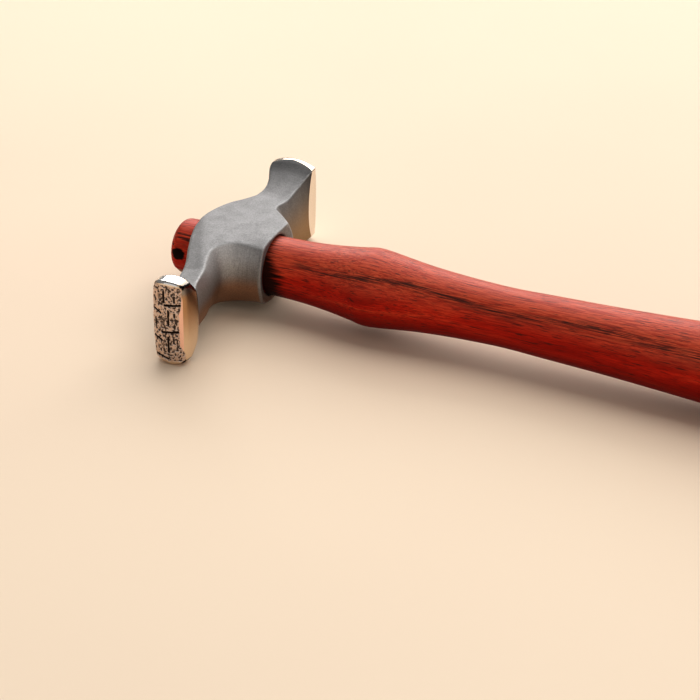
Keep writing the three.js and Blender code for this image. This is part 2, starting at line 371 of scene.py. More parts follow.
# ---------- the textured face's relief ----------
# Seeded noises: the seed, and the size of the features along x and h
NOISE_CELLS = 64
WANDER_NOISE = (3, 0.7, 0.7)
UPRIGHT_NOISE = (5, 0.34, 0.56)
LEVEL_NOISE = (7, 0.62, 0.32)
COARSE_NOISE = (11, 1.3, 1.3)
FINE_NOISE = (13, 0.22, 0.22)
RAGGED_NOISE = (17, 0.5, 0.5)

STROKE_WIDTH = 0.37
STROKE_RAGGED = 0.4               # share of the width that comes and goes along a stroke
STROKE_WANDER = 0.08
STROKE_SLOPE = 0.16
STROKE_DEPTH = 0.4
GRAIN_DEPTH = 0.16
GRAIN_DARKNESS = 0.56             # how dark the grain's hollows are beside the strokes
GRAIN_LEVEL = 0.33                # with more of this, more of the face is hollow
UPRIGHT_BEND = 0.15               # how far the wander shifts the upright noise and the level one
LEVEL_BEND = 0.2
LEVEL_SHARE = 0.8                 # the grain adds these shares of the other noises to the upright
FINE_SHARE = 0.45
COARSE_SHARE = 0.25
RELIEF_FADE = 0.3                 # distance in from the relief's edge to its full depth
STROKES = [                       # hand-cut strokes, as (x, h) at each end and how strong each is
    (-12.6, 5.4, -8.1, 6.0, 1.0), (-13.6, -3.0, -8.3, -2.1, 1.0), (-16.1, 3.7, -14, 2.9, 0.8),
    (-16.2, -4.7, -14, -5.4, 0.8), (-15.6, -10.1, -12, -10.8, 1.0), (-12.8, 9.7, -12.9, 6.3, 1.0),
    (-9.7, 8.4, -9.8, 6.7, 0.6), (-11.5, 3.8, -11.6, -0.3, 1.0), (-11.8, -4.3, -11.7, -8.7, 1.0),
    (-15.6, 0.9, -15.5, -2.3, 0.7), (-10.2, -4.4, -10.2, -5.8, 0.6), (-9.8, 3.2, -9.8, 2.2, 0.6),
    (-9.8, -0.4, -9.8, -1.3, 0.6), (-8.3, 6.4, -8.5, 3.2, 0.35), (-8.4, -1.6, -8.2, -5.2, 0.35),
    (-13.7, 0.6, -13.8, -1.6, 0.4), (-14.4, 8.2, -14.3, 6.6, 0.4), (-13.2, -6.2, -13.3, -7.6, 0.4),
]


def lattice_noise(u, v, seed, u_size, v_size):
    """Smooth random relief from -1 to 1 over a plane, with features of about the given size."""
    table = np.random.default_rng(seed).uniform(-1, 1, (NOISE_CELLS, NOISE_CELLS))
    a, b = u / u_size, v / v_size
    i, j = np.floor(a).astype(int), np.floor(b).astype(int)
    s, t = smooth(a - i), smooth(b - j)

    def at(di, dj):
        return table[(i + di) % NOISE_CELLS, (j + dj) % NOISE_CELLS]

    return mix(mix(at(0, 0), at(1, 0), s), mix(at(0, 1), at(1, 1), s), t)


def stroke(x, h, mark, wander):
    """How deep one cut stroke is at each point, from 0 to 1, with ragged sides."""
    x0, h0, x1, h1, strength = mark
    length2 = (x1 - x0) ** 2 + (h1 - h0) ** 2
    t = np.clip(((x - x0) * (x1 - x0) + (h - h0) * (h1 - h0)) / length2, 0, 1)
    away = np.hypot(x - x0 - t * (x1 - x0), h - h0 - t * (h1 - h0)) + STROKE_WANDER * wander
    half_width = STROKE_WIDTH * (1 + STROKE_RAGGED * wander)
    return strength * smooth((half_width - away) / STROKE_SLOPE)


def face_relief(x, h):
    """The relief of the textured face: grain and strokes as depths from 0 to 1."""
    wander = lattice_noise(x, h, *WANDER_NOISE)
    upright = lattice_noise(x + UPRIGHT_BEND * wander, h, *UPRIGHT_NOISE)
    level = lattice_noise(x, h + LEVEL_BEND * wander, *LEVEL_NOISE)
    fine = upright + LEVEL_SHARE * level + FINE_SHARE * lattice_noise(x, h, *FINE_NOISE)
    coarse = lattice_noise(x, h, *COARSE_NOISE)
    grain = smooth(GRAIN_LEVEL - fine - COARSE_SHARE * coarse)
    strokes = np.zeros_like(x)
    for mark in STROKES:
        strokes = np.maximum(strokes, stroke(x, h, mark, wander))
    return grain, strokes


# ---------- where the head is polished, textured, bright or dark ----------
POLISH_FAR = 35.8                 # the smooth end's polish starts here at mid height,
POLISH_BOW = 0.03                 # further out towards the top and the bottom,
POLISH_BOW_HEIGHT = 11.4
POLISH_TONGUE = 0.157             # and further still along the middle of the top
POLISH_TOP = (9, 11)
POLISH_NEAR_SIDE = -34.2          # the narrow end's polish starts here on its sides
POLISH_NEAR_TOP = -37.8
SIDE_DEPTH = 0.35                 # how far in from the outline the sides count

TEXTURE_EDGE = -7.75              # the relief stops here, short of the grip side's bevel
TEXTURE_BARE = 0.7                # further short of it along the middle, which is rubbed bare
BARE_HEIGHT = -1.5
BARE_BLEND = (4.5, 7)
TEXTURE_LOW = 0.6                 # and nearer to it towards the bottom
LOW_BLEND = (-6, -10)
TEXTURE_HEIGHT = 11.6             # and here, short of the rounded top and bottom
TEXTURE_ARC = 0.03
TEXTURE_RAGGED = 0.15

REFINED_FROM = -41.2              # beyond these y the face's mesh is finer,
TEXTURED_FROM = -40.9             # the face may be textured,
RELIEF_FROM = -40.8               # and its points are moved
REFINE_CUTS = 3

EDGE_INSIDE = (0.02, 0.08)        # an edge's rounding is this deep inside both its surfaces,
RIDGE_REACH = (1.2, 0.7)          # and no deeper than this along the ridges
RIM_REACH = (0.9, 0.6)            # or this round the boss face
SIDE_INSIDE = (0.10, 0.02)
SIDE_FRONT = (-0.6, -1.1)         # x where the side walls give way to the boss face
# where a dark reflection is painted along the narrow end's ridges
DARK_RIDGE_X = (-13.5, -12)
DARK_RIDGE_Y = (-33.5, -34.5)
DARK_RIDGE_END = -41.6


def polish_depth(x, y, h):
    """Signed distance inside the polished ends."""
    middle = (SMOOTH_HALF["poll"] + SMOOTH_HALF["grip"]) / 2
    half_width = (SMOOTH_HALF["grip"] - SMOOTH_HALF["poll"]) / 2
    tongue = np.maximum(0, half_width - np.abs(x - middle)) * ramp(np.abs(h), *POLISH_TOP)
    bow = POLISH_BOW * np.minimum(np.abs(h), POLISH_BOW_HEIGHT) ** 2
    far_line = POLISH_FAR + bow + POLISH_TONGUE * tongue
    near_line = np.where(plan_depth(x, y) > SIDE_DEPTH, POLISH_NEAR_TOP, POLISH_NEAR_SIDE)
    return np.maximum(y - far_line, near_line - y)


def texture_depth(x, y, h):
    """Signed distance inside the textured face's relief."""
    bare = 1 - ramp(np.abs(h - BARE_HEIGHT), *BARE_BLEND)
    edge = TEXTURE_EDGE - TEXTURE_BARE * bare + TEXTURE_LOW * ramp(h, *LOW_BLEND)
    ceiling = TEXTURE_HEIGHT - np.abs(h) - TEXTURE_ARC * (x - FACE_MIDDLE) ** 2
    ragged = TEXTURE_RAGGED * lattice_noise(x, h, *RAGGED_NOISE)
    return np.where(y < TEXTURED_FROM, np.minimum(edge - x, ceiling) + ragged, -1.0)


def edge_share(a, b, reach):
    """From 0 to 1 on the rounding between two surfaces, given how deep a point is inside each."""
    return ramp(np.minimum(a, b), *EDGE_INSIDE) * ramp(np.maximum(a, b), *reach)


def ridge_share(x, y, h):
    """From 0 to 1 on the rounded edges between side walls, top, underside and boss face."""
    walls, ceiling = walls_and_ceiling(x, y, h, flat_values(x, y))
    rim = edge_share(np.minimum(walls, ceiling), -x, RIM_REACH)
    return np.maximum(edge_share(walls, ceiling, RIDGE_REACH), rim)


def dark_ridge_share(x, y):
    """From 0 to 1 where a dark reflection is painted along the narrow end's ridges."""
    return ramp(y, *DARK_RIDGE_Y) * ramp(x, *DARK_RIDGE_X) * (y > DARK_RIDGE_END)


def side_share(x, y, h):
    """From 0 to 1 on the side walls, up to the boss face."""
    return ramp(plan_depth(x, y) + bulge(x, y, h), *SIDE_INSIDE) * ramp(x, *SIDE_FRONT)


# ---------- pieces ----------
def mesh_object(name, points, faces, material, shade_smooth=True):
    mesh = bpy.data.meshes.new(name)
    mesh.from_pydata([tuple(p) for p in points], [], [tuple(int(i) for i in f) for f in faces])
    mesh.materials.append(material)
    mesh.polygons.foreach_set("use_smooth", [shade_smooth] * len(mesh.polygons))
    mesh.update()
    piece = bpy.data.objects.new(name, mesh)
    bpy.context.scene.collection.objects.link(piece)
    return piece


def finish_piece(piece, node):
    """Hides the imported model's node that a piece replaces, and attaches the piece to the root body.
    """
    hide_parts(node)
    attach(piece, "root")


def set_attribute(mesh, name, values):
    attribute = mesh.attributes.new(name, "FLOAT", "POINT")
    attribute.data.foreach_set("value", np.asarray(values, np.float32))


def refine_near_face(points, quads):
    """The mesh with each face of the textured end split four ways along each side."""
    work = bmesh.new()
    verts = [work.verts.new(p) for p in points]
    for quad in quads:
        work.faces.new([verts[i] for i in quad])
    fine = [f for f in work.faces if f.calc_center_median().y < REFINED_FROM]
    edges = list({e for f in fine for e in f.edges})
    bmesh.ops.subdivide_edges(work, edges=edges, cuts=REFINE_CUTS, use_grid_fill=True)
    work.verts.index_update()
    new_points = np.array([v.co for v in work.verts])
    faces = [[v.index for v in f.verts] for f in work.faces]
    work.free()
    return new_points, faces


def make_head(material):
    points, quads = surface_net(head_field, GRID_LOW, GRID_HIGH, GRID_STEP)
    points, faces = refine_near_face(points, quads)
    near = np.where(points[:, 1] < RELIEF_FROM)[0]
    points[near], outward = onto_surface(head_field, points[near])
    grain = np.zeros(len(points))
    strokes = np.zeros(len(points))
    grain[near], strokes[near] = face_relief(points[near, 0], points[near, 2])
    polish = polish_depth(*points.T)
    textured = texture_depth(*points.T)
    inset = ramp(textured, 0, RELIEF_FADE)
    depth = inset * np.maximum(GRAIN_DEPTH * grain, STROKE_DEPTH * strokes)
    points[near] -= outward * depth[near][:, None]

    piece = mesh_object("hammer_head_steel", placed(points), faces, material)
    x, y, h = points.T
    ridge = ridge_share(x, y, h)
    # scale: where the dark reflection is painted along the narrow end's ridges
    scale = dark_ridge_share(x, y)
    set_attribute(piece.data, "polish", polish)
    set_attribute(piece.data, "textured", textured)
    set_attribute(piece.data, "relief", np.maximum(GRAIN_DARKNESS * grain, strokes) * inset)
    set_attribute(piece.data, "scale", ridge * scale)
    set_attribute(piece.data, "ridge", ridge * (1 - scale))
    set_attribute(piece.data, "side", side_share(x, y, h))
    finish_piece(piece, "hammer_head")


# ---------- the handle and its wedges ----------
STUB_RADIUS = EYE_BACK - 0.3
STUB_ROUNDING = 2.8
STUB_CROWN = 0.25                 # how far the stub's end stands out in its middle
GRIP_RADIUS = END_HEIGHT / 2
LAST_RING = 0.05                  # the last ring's distance from the grip's end
HANDLE_SEGMENTS = 128
WEDGE_SEGMENTS = 96
HANDLE_STATIONS = [               # x and radius, from the boss face to the grip's end
    (0, 8.4), (8, 8.58), (14, 8.95), (20, 9.6), (25.5, 10.4), (29.3, 11), (33.5, 10.75),
    (39, 10.05), (45, 9.35), (52, 8.8), (60, 8.4), (70, 8.2), (82, 8.6), (98, 9.15), (116, 10.05),
    (136, 11.2), (156, 12.2), (176, GRIP_RADIUS), (196, 12.55), (212, 11.9), (224, 10.7),
    (232, 8.6), (236.6, 5), (handle_reach, 0),
]
CUT_OVERRUN = 1                   # cuts start this far outside the stub's end
CUT_START = -stub_length - CUT_OVERRUN
CUT_WIDTH = 20                    # wider than the stub
KERF_DEPTH = 22
KERF_MOUTH = 2.88                 # its width where its cut starts
KERF_ROOT = 1.0
KERF_ANGLE = math.pi / 4
EYE_WEDGE_INSET = 0.12            # how far its rim is inside the stub's
EYE_WEDGE_SHORT = 2               # how far it stops from the kerf's root
BLANK_OVERRUN = 2                 # how far its round blank runs on past that root
EYE_WEDGE_MOUTH = 2.68            # its thickness where the kerf's cut starts
EYE_WEDGE_EDGE = 0.6
CROSS_WEDGE = {"depth": 9, "width": 9, "thickness": 1.6, "edge": 0.5, "sunk": 0.15, "bevel": 0.12}
SNUG = 0.06                       # gap between the cross wedge and its slot


def revolved(profile, segments):
    """Points and faces of a profile of (x, radius) turned about the handle's axis, shut at its ends."""
    angles = np.arange(segments) * 2 * math.pi / segments
    rings = []
    for x, radius in profile[1:-1]:
        ring = [np.full(segments, x), radius * np.cos(angles), radius * np.sin(angles)]
        rings.append(np.stack(ring, 1))
    points = np.vstack([[(profile[0][0], 0, 0)], *rings, [(profile[-1][0], 0, 0)]])
    last = len(points) - 1
    base = last - segments
    faces = []
    for i in range(segments):
        j = (i + 1) % segments
        faces.append((0, 1 + j, 1 + i))
        faces.append((last, base + i, base + j))
        for ring in range(len(rings) - 1):
            a, b = 1 + ring * segments + i, 1 + ring * segments + j
            faces.append((a, b, b + segments, a + segments))
    return points, faces


def stub_profile(radius):
    """The stub's worn, rounded end, from its middle out to its full radius."""
    flat = radius - STUB_ROUNDING
    profile = [(-stub_length + STUB_CROWN * (r / flat) ** 2, r) for r in np.linspace(0, flat, 8)[:-1]]
    for angle in np.linspace(0, math.pi / 2, 12):
        x = -stub_length + STUB_CROWN + (STUB_ROUNDING - STUB_CROWN) * (1 - math.cos(angle))
        profile.append((x, flat + STUB_ROUNDING * math.sin(angle)))
    return profile


def handle_profile():
    """The whole handle, from the middle of the stub's end to the middle of the grip's end."""
    rear_length = stub_length - STUB_ROUNDING
    front_radius = HANDLE_STATIONS[0][1]
    shank = [(x, mix(STUB_RADIUS, front_radius, 1 + x / rear_length))
             for x in np.linspace(-rear_length, 0, 30)[1:-1]]
    body = [(min(x, handle_reach - LAST_RING), min(GRIP_RADIUS, r))
            for x, r in spline(HANDLE_STATIONS, 14)[:-1]]
    return stub_profile(STUB_RADIUS) + shank + body + [(handle_reach, 0)]


def wedge_shape(start, depth, width, thick, thin, turn):
    """Points and faces of a wedge that tapers towards the grip, turned about the handle's axis."""
    corners = []
    for x, t in ((start, thick / 2), (start + depth, thin / 2)):
        corners += [(x, -width / 2, -t), (x, width / 2, -t), (x, width / 2, t), (x, -width / 2, t)]
    c, s = math.cos(turn), math.sin(turn)
    points = [(x, y * c - h * s, y * s + h * c) for x, y, h in corners]
    faces = [(3, 2, 1, 0), (4, 5, 6, 7), (0, 1, 5, 4), (1, 2, 6, 5), (2, 3, 7, 6), (3, 0, 4, 7)]
    return points, faces


def cross_wedge_shape(gap=0.0, overrun=0.0):
    """The cross wedge, or its slot: grown by a gap all round and run on past its thick end."""
    thick = mix(CROSS_WEDGE["thickness"], CROSS_WEDGE["edge"], -overrun / CROSS_WEDGE["depth"])
    return wedge_shape(-stub_length + CROSS_WEDGE["sunk"] - overrun,
                       CROSS_WEDGE["depth"] + overrun + gap, CROSS_WEDGE["width"] + 2 * gap,
                       thick + 2 * gap, CROSS_WEDGE["edge"] + 2 * gap, KERF_ANGLE + math.pi / 2)


def combine(piece, shape, operation):
    """Cuts a shape from a piece, or keeps only what is inside it, and leaves no modifier."""
    cutter = mesh_object("cutter", placed(shape[0]), shape[1], piece.data.materials[0], False)
    modifier = piece.modifiers.new("combine", "BOOLEAN")
    modifier.operation = operation
    modifier.solver = "EXACT"
    modifier.object = cutter
    graph = bpy.context.evaluated_depsgraph_get()
    made = bpy.data.meshes.new_from_object(piece.evaluated_get(graph))
    piece.modifiers.clear()
    piece.data = made
    bpy.data.objects.remove(cutter)


def cut_slot(piece):
    """Cuts the cross wedge's slot, from outside the stub's end."""
    combine(piece, cross_wedge_shape(SNUG, CUT_OVERRUN + CROSS_WEDGE["sunk"]), "DIFFERENCE")


def make_handle(material):
    points, faces = revolved(handle_profile(), HANDLE_SEGMENTS)
    piece = mesh_object("handle_wood", placed(points), faces, material)
    depth = KERF_DEPTH + CUT_OVERRUN
    kerf = wedge_shape(CUT_START, depth, CUT_WIDTH, KERF_MOUTH, KERF_ROOT, KERF_ANGLE)
    combine(piece, kerf, "DIFFERENCE")
    cut_slot(piece)
    finish_piece(piece, "handle")


def make_eye_wedge(material):
    radius = STUB_RADIUS - EYE_WEDGE_INSET
    end = -stub_length + KERF_DEPTH + BLANK_OVERRUN
    blank = stub_profile(radius) + [(end, radius), (end, 0)]
    points, faces = revolved(blank, WEDGE_SEGMENTS)
    piece = mesh_object("eye_wedge_wood", placed(points), faces, material)
    depth = KERF_DEPTH + CUT_OVERRUN - EYE_WEDGE_SHORT
    wedge = wedge_shape(CUT_START, depth, CUT_WIDTH, EYE_WEDGE_MOUTH, EYE_WEDGE_EDGE, KERF_ANGLE)
    combine(piece, wedge, "INTERSECT")
    cut_slot(piece)
    finish_piece(piece, "eye_wedge")


def make_cross_wedge(material):
    points, faces = cross_wedge_shape()
    piece = mesh_object("cross_wedge_steel", placed(points), faces, material, False)
    work = bmesh.new()
    work.from_mesh(piece.data)
    bmesh.ops.bevel(work, geom=work.edges[:], offset=CROSS_WEDGE["bevel"] * MM, segments=2,
                    affect="EDGES")
    work.to_mesh(piece.data)
    work.free()
    finish_piece(piece, "cross_wedge")


# ---------- materials, with places in metres ----------
class Nodes:
    """A material's node tree, with short ways to add and join nodes."""

    def __init__(self, name):
        self.material = bpy.data.materials.new(name)
        self.material.use_nodes = True
        self.tree = self.material.node_tree
        self.bsdf = self.tree.nodes["Principled BSDF"]
        self.position = self.add("TexCoord").outputs["Object"]

    def add(self, kind, inputs=None, **settings):
        node = self.tree.nodes.new("ShaderNode" + kind)
        for key, value in settings.items():
            setattr(node, key, value)
        for key, value in (inputs or {}).items():
            self.join(value, node.inputs[key])
        return node

    def join(self, value, socket):
        if isinstance(value, bpy.types.NodeSocket):
            self.tree.links.new(value, socket)
        else:
            socket.default_value = value

    def places(self):
        """x from the boss face, y, and height over the handle's axis."""
        split = self.add("SeparateXYZ", {"Vector": self.position})
        return (self.minus(split.outputs["X"], boss_x), split.outputs["Y"],
                self.minus(split.outputs["Z"], axis_z))

    def math(self, operation, a, b=0.0):
        return self.add("Math", {0: a, 1: b}, operation=operation).outputs[0]

    def plus(self, a, b):
        return self.math("ADD", a, b)

    def minus(self, a, b):
        return self.math("SUBTRACT", a, b)

    def times(self, first, *others):
        """The product of all the values."""
        for value in others:
            first = self.math("MULTIPLY", first, value)
        return first

    def ramp(self, value, low, high, to_low=0.0, to_high=1.0):
        """value from low..high taken smoothly to to_low..to_high."""
        inputs = {"Value": value, "From Min": low, "From Max": high,
                  "To Min": to_low, "To Max": to_high}
        return self.add("MapRange", inputs, interpolation_type="SMOOTHSTEP").outputs["Result"]

    def noise(self, scale, detail=2.0, stretch=(1, 1, 1), roughness=0.5, distortion=0.0, turn=0.0,
              over=None):
        """Noise from 0 to 1 over the piece, or over another vector, squeezed along each axis."""
        vector = self.add("Mapping", {"Vector": self.position if over is None else over,
                                      "Scale": stretch, "Rotation": (turn, 0, 0)}).outputs[0]
        return self.add("TexNoise", {"Vector": vector, "Scale": scale, "Detail": detail,
                                     "Roughness": roughness, "Distortion": distortion}).outputs["Fac"]

    def blend(self, factor, a, b, kind="MIX"):
        node = self.add("Mix", data_type="RGBA", blend_type=kind)
        self.join(factor, node.inputs[0])
        for index, value in ((6, a), (7, b)):
            if isinstance(value, tuple):
                value = (*value, 1.0)
            self.join(value, node.inputs[index])
        return node.outputs[2]

    def scaled(self, colour, factor):
        """The colour with its three channels multiplied by the factor."""
        grey = self.add("CombineColor", {0: factor, 1: factor, 2: factor}).outputs[0]
        return self.blend(1.0, colour, grey, "MULTIPLY")

    def blend_value(self, factor, a, b):
        return self.add("Mix", {0: factor, 2: a, 3: b}, data_type="FLOAT").outputs[0]

    def attribute(self, name):
        return self.add("Attribute", attribute_name=name, attribute_type="GEOMETRY").outputs["Fac"]

    def bump(self, height, distance):
        return self.add("Bump", {"Height": height, "Distance": distance,
                                 "Strength": 1.0}).outputs["Normal"]

    def surface(self, **inputs):
        """Joins the material's inputs, named with _ for each space, and returns the material."""
        for name, value in inputs.items():
            if isinstance(value, tuple):
                value = (*value, 1.0)
            self.join(value, self.bsdf.inputs[name.replace("_", " ")])
        return self.material


BLASTED = (0.295, 0.287, 0.283)
POLISH_EDGE_SHADE = (0.06, 0.03, 0.018)               # painted shade of a small groove where the blasting meets the polish
RUBBED_HIGHLIGHT = (0.53, 0.52, 0.51)             # the rubbed ridges, lightened further as a painted highlight
GROUND = (0.45, 0.435, 0.425)           # the ground scoop, its inner part lightened as painted light, and its lower part browned as a painted reflection of the shaded floor
GROUND_INNER_LIGHT = (0.57, 0.555, 0.545)
SCOOP_LOW_REFLECTION = (0.33, 0.195, 0.125)
# painted reflections of the shaded floor, low on the smooth arm's wall and on the boss face
FAR_WALL_LOW_REFLECTION = (0.42, 0.27, 0.13)
BOSS_LOW_REFLECTION = (0.14, 0.055, 0.02)
POLISHED = (0.80, 0.70, 0.60)           # the smooth end, warmed as a painted reflection of the floor
POLISHED_NARROW_REFLECTION = (0.80, 0.63, 0.46)    # the narrow end, warmed as a painted reflection of the floor, and browner up its side as a painted reflection of shade
POLISHED_BROWN_REFLECTION = (0.46, 0.28, 0.15)
POLISHED_DARK_REFLECTION = (0.30, 0.27, 0.24)      # painted dark reflection at the top of the narrow end's side
# painted highlight on the narrow end's top, and a painted pink reflection on its bevel
POLISHED_TOP_HIGHLIGHT = (0.86, 0.84, 0.82)
BEVEL_REFLECTION = (0.93, 0.60, 0.48)
# painted dark reflection along the narrow end's ridges
DARK_RIDGE_REFLECTION = (0.012, 0.009, 0.008)
TEXTURE_HIGH = (0.64, 0.47, 0.37)
TEXTURE_BRIGHT = (0.66, 0.57, 0.53)
TEXTURE_CUT = (0.030, 0.018, 0.012)

INNER_SCOOP = (-0.0125, -0.0070)        # x from the scoop's inner part to its outer part
NARROW_SIDE = (-0.0085, -0.0075)        # x from the narrow end's face and top to its grip side
SCOOP_Y = (-0.009, -0.007)
SCOOP_X = (-0.0150, -0.0145)
FAR_WALL_Y = (0.012, 0.016)
FAR_WALL_X = (-0.0120, -0.0110)
BOSS_FACE_X = (-0.0006, -0.0002)
BEVEL_Y = (-0.04125, -0.04140)


def blasted_steel(n, y, polish, side, speck):
    """Blasted steel with random mottling, darkened towards the smooth end as painted shade, and with a
    painted shade line at the rims of the polish.
    """
    # painted shade: the two ramps along y darken the smooth arm; the noise is the steel's own mottling
    mottle_and_shade = n.times(n.ramp(n.noise(260, 4), 0.3, 0.7, 0.92, 1.06), n.ramp(y, 0.020, 0.041, 1.0, 0.38),
                    n.ramp(y, 0.0335, 0.0375, 1.0, 0.74))
    # painted shade line along the polish's edge on the side walls
    rim = n.times(n.ramp(n.math("ABSOLUTE", polish), 0.15, 0.55, 0.85, 0.0), side)
    return n.blend(rim, n.scaled(BLASTED, n.times(mottle_and_shade, speck)), POLISH_EDGE_SHADE)


def ground_steel(n, x, above, inner, speck):
    """The ground scoop beside the boss with its grinding marks, brightened towards the arm as painted
    light, darkened low down and towards the boss as painted shade, and browned low down as a painted
    reflection of the shaded floor.
    """
    grinding = n.noise(1, 3, stretch=(2600, 160, 160), roughness=0.6)
    outer = n.scaled(GROUND, n.ramp(grinding, 0.35, 0.65, 0.94, 1.06))
    ground = n.blend(inner, outer, GROUND_INNER_LIGHT)
    # painted shade low down and towards the boss, then the painted brown reflection low down
    ground = n.scaled(ground, n.ramp(above, -0.0020, 0.0060, 0.66, 1.0))
    ground = n.scaled(ground, n.ramp(x, -0.0060, 0.0, 1.0, 0.78))
    ground = n.blend(n.ramp(above, -0.0038, 0.0015, 1.0, 0.0), ground, SCOOP_LOW_REFLECTION)
    return n.scaled(ground, speck)


def narrow_polish(n, x, y, above):
    """The narrow end's polish with painted reflections, browner up its side, pink on its bevel and dark
    at its corner, and a painted highlight on its top.
    """
    brown_reflection = n.times(n.ramp(x, *NARROW_SIDE), n.ramp(above, -0.0090, 0.0052))
    polish = n.blend(brown_reflection, POLISHED_NARROW_REFLECTION, POLISHED_BROWN_REFLECTION)
    near_middle = n.ramp(n.math("ABSOLUTE", above), 0.0070, 0.0090, 1.0, 0.0)
    bevel = n.times(n.ramp(y, *BEVEL_Y), near_middle)
    polish = n.blend(bevel, polish, BEVEL_REFLECTION)
    corner = n.times(n.ramp(x, *NARROW_SIDE), n.ramp(above, 0.0080, 0.0098))
    polish = n.blend(corner, polish, POLISHED_DARK_REFLECTION)
    on_top = n.times(n.ramp(above, 0.0112, 0.0120), n.ramp(x, -0.0092, -0.0084, 1.0, 0.0))
    return n.blend(on_top, polish, POLISHED_TOP_HIGHLIGHT)


def head_material():
    n = Nodes("head_steel")
    x, y, above = n.places()
    polish, side = n.attribute("polish"), n.attribute("side")
    speck = n.ramp(n.noise(2600, 4, roughness=0.65), 0.36, 0.64, 0.88, 1.12)
    colour = blasted_steel(n, y, polish, side, speck)

    scoop = n.times(side, n.ramp(y, *SCOOP_Y, 1.0, 0.0), n.ramp(x, *SCOOP_X))
    inner = n.ramp(x, *INNER_SCOOP, 1.0, 0.0)
    colour = n.blend(scoop, colour, ground_steel(n, x, above, inner, speck))

    # a painted reflection of the shaded floor browns the smooth arm's wall and the boss face low down,
    # and the ridges are rubbed and lightened as a painted highlight
    far_wall_reflection = n.times(side, n.ramp(y, *FAR_WALL_Y), n.ramp(x, *FAR_WALL_X),
                      n.ramp(above, -0.006, 0.009, 0.85, 0.0))
    colour = n.blend(far_wall_reflection, colour, FAR_WALL_LOW_REFLECTION)
    boss_reflection = n.times(n.ramp(x, *BOSS_FACE_X), n.ramp(above, -0.009, 0.001, 0.85, 0.0))
    colour = n.blend(boss_reflection, colour, BOSS_LOW_REFLECTION)
    # the ridges: rubbed wear and a painted highlight
    colour = n.blend(n.times(n.attribute("ridge"), 0.42), colour, RUBBED_HIGHLIGHT)

    # the polished ends with their painted reflections, and a painted dark reflection along the narrow
    # end's ridges
    ends = n.blend(n.ramp(y, -0.005, 0.005), narrow_polish(n, x, y, above), POLISHED)
    polished = n.ramp(polish, -0.08, 0.08)
    colour = n.blend(polished, colour, ends)
    colour = n.blend(n.attribute("scale"), colour, DARK_RIDGE_REFLECTION)

    # the textured face, bright on top and dark in its cuts
    textured = n.ramp(n.attribute("textured"), -0.1, 0.15)
    relief = n.ramp(n.attribute("relief"), 0.05, 0.7)
    high = n.blend(n.ramp(n.noise(2300, 2), 0.45, 0.65), TEXTURE_HIGH, TEXTURE_BRIGHT)
    colour = n.blend(textured, colour, n.blend(relief, high, TEXTURE_CUT))

    roughness = n.blend_value(scoop, n.ramp(n.noise(1500, 2), 0.3, 0.7, 0.60, 0.68),
                              n.blend_value(inner, 0.52, 0.64))
    ends = n.ramp(n.noise(900, 3, stretch=(1, 14, 1)), 0.3, 0.7, 0.12, 0.2)
    roughness = n.blend_value(polished, roughness, ends)
    roughness = n.blend_value(textured, roughness, n.blend_value(relief, 0.3, 0.6))
    grain = n.times(n.noise(6500, 2), n.minus(1.0, polished))
    return n.surface(Base_Color=colour, Metallic=1.0, Roughness=roughness,
                     Normal=n.bump(grain, 0.00003))


HEART = (0.56, 0.020, 0.006)
EMBER = (0.70, 0.070, 0.024)            # the brightest bands
DEEP = (0.32, 0.007, 0.002)             # the darkest bands
TOP_SHEEN = (0.62, 0.104, 0.042)             # painted sheen on top
SHADED = (0.16, 0.002, 0.001)           # painted shade underneath, also the colour of the dark threads
VEIN = (0.030, 0.010, 0.008)
BOSS_DARK = (0.010, 0.004, 0.003)
PATCH_DARK = (0.004, 0.002, 0.002)

VEIN_ANGLE = math.radians(49)           # how far the vein is from the top, turning towards the viewer
VEIN_SWING = math.radians(5.3)
VEIN_WAVES = 2 * math.pi / 0.051
VEIN_CREST = 0.020                      # x of one crest of its waves
PATCH_X = -0.0272                        # the middle of the dark patch on the stub, and its angle in radians
PATCH_ANGLE = 1.43
PATCH_ALONG = 480.0                      # how fast it fades along the stub and round it
PATCH_AROUND = 4.0
STUB_BLEND = (-0.0250, -0.0230)         # x from the stub to the shank


def wood_bands(n, x, high, fibres, pores):
    """The wood's colour: bands, fibres, threads and pores, with a painted sheen on top and painted
    shade underneath.
    """
    bands = n.noise(1, 4, (9, 300, 110), 0.55, distortion=0.6, turn=math.radians(50))
    colour = n.blend(n.ramp(bands, 0.38, 0.55), DEEP, HEART)
    colour = n.blend(n.ramp(bands, 0.52, 0.66, 0.0, 0.8), colour, EMBER)
    # painted sheen on top and painted shade underneath, both weaker on the stub
    top_sheen = n.times(n.ramp(high, 0.0006, 0.0072, 0.0, 0.9), n.ramp(x, *STUB_BLEND, 0.55, 1.0))
    colour = n.blend(top_sheen, colour, TOP_SHEEN)
    shaded = n.times(n.ramp(high, 0.0010, -0.0060, 0.0, 0.85), n.ramp(x, *STUB_BLEND, 0.3, 1.0))
    colour = n.blend(shaded, colour, SHADED)
    colour = n.blend(n.ramp(fibres, 0.45, 0.60, 0.0, 0.55), colour, DEEP)
    threads = n.noise(1, 2, (170, 5200, 5200), 0.6)
    colour = n.blend(n.ramp(threads, 0.50, 0.62, 0.0, 0.4), colour, SHADED)
    return n.blend(n.ramp(pores, 0.58, 0.68, 0.0, 0.8), colour, VEIN)


